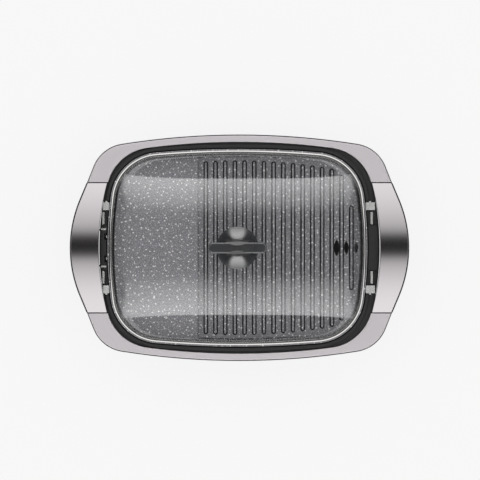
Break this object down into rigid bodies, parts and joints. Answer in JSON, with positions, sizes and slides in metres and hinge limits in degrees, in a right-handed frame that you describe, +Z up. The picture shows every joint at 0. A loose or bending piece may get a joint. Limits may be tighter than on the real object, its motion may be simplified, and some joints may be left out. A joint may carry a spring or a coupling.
{
  "type": "electric table grill with lift-off glass lid",
  "caption": "Countertop electric grill: griddle and ribbed plate in a frame with arched handles, domed glass lid, drip tray.",
  "frame": {"origin": "on the ground under the centre of the frame's outline", "axes": "+X along the length towards the drip tray's front, +Y to the rear, +Z up; the terminals are at -X"},
  "size_m": [0.5, 0.336, 0.1269],
  "materials": {
    "moulded_body": "matte moulded, fine grain",
    "moulded_grip": "satin moulded",
    "satin_trim": "satin anodised",
    "polished_cover": "polished",
    "coated_plate": "speckled non-stick coating",
    "sheath_steel": "drawn, heat-tinted",
    "pin_steel": "nickel plated",
    "ceramic": "unglazed",
    "folded_steel": "galvanised",
    "bright_steel": "polished",
    "reflector_sheet": "pressed sheet",
    "lid_pane": "clear tempered",
    "ring_steel": "polished",
    "knob_plastic": "semi-gloss moulded",
    "screw_steel": "zinc plated",
    "foot_rubber": "matte",
    "tray_plastic": "satin moulded"
  },
  "bodies": {
    "base": {"tub": "moulded_body", "upper_frame": "moulded_body", "inlet_shroud": "moulded_body", "left_handle_grip": "moulded_grip", "right_handle_grip": "moulded_grip", "rear_trim": "satin_trim", "front_trim": "satin_trim", "left_handle_cover": "polished_cover", "right_handle_cover": "polished_cover", "plate_guides": "bright_steel", "ledge_springs": "bright_steel", "reflector_pan": "reflector_sheet", "reflector_screws": "screw_steel", "frame_screws": "screw_steel", "handle_screws": "screw_steel", "foot_screws": "screw_steel", "foot_front_left": "foot_rubber", "foot_front_right": "foot_rubber", "foot_rear_left": "foot_rubber", "foot_rear_right": "foot_rubber"},
    "plate": {"grill_plate": "coated_plate", "heating_element": "sheath_steel", "terminal_pins": "pin_steel", "terminal_insulators": "ceramic", "probe_sleeve": "pin_steel", "terminal_guard": "folded_steel", "guard_screws": "screw_steel", "rest_clip_front_left": "bright_steel", "rest_clip_front_right": "bright_steel", "rest_clip_rear_left": "bright_steel", "rest_clip_rear_right": "bright_steel"},
    "lid": {"lid_glass": "lid_pane", "lid_ring": "ring_steel", "knob_collar": "bright_steel", "knob_base": "knob_plastic", "knob_grip": "knob_plastic", "knob_inner_washer": "screw_steel", "knob_screw": "screw_steel"},
    "tray": {"drip_tray": "tray_plastic", "drip_tray_front": "tray_plastic"}
  },
  "joints": [
    {"name": "plate_lift", "type": "slide", "parent": "base", "child": "plate", "axis": [0, 0, 1], "range_m": [0, 0.12]},
    {"name": "lid_lift", "type": "slide", "parent": "plate", "child": "lid", "axis": [0, 0, 1], "range_m": [0, 0.15]},
    {"name": "tray_slide", "type": "slide", "parent": "base", "child": "tray", "axis": [1, 0, 0], "range_m": [0, 0.13]}
  ]
}
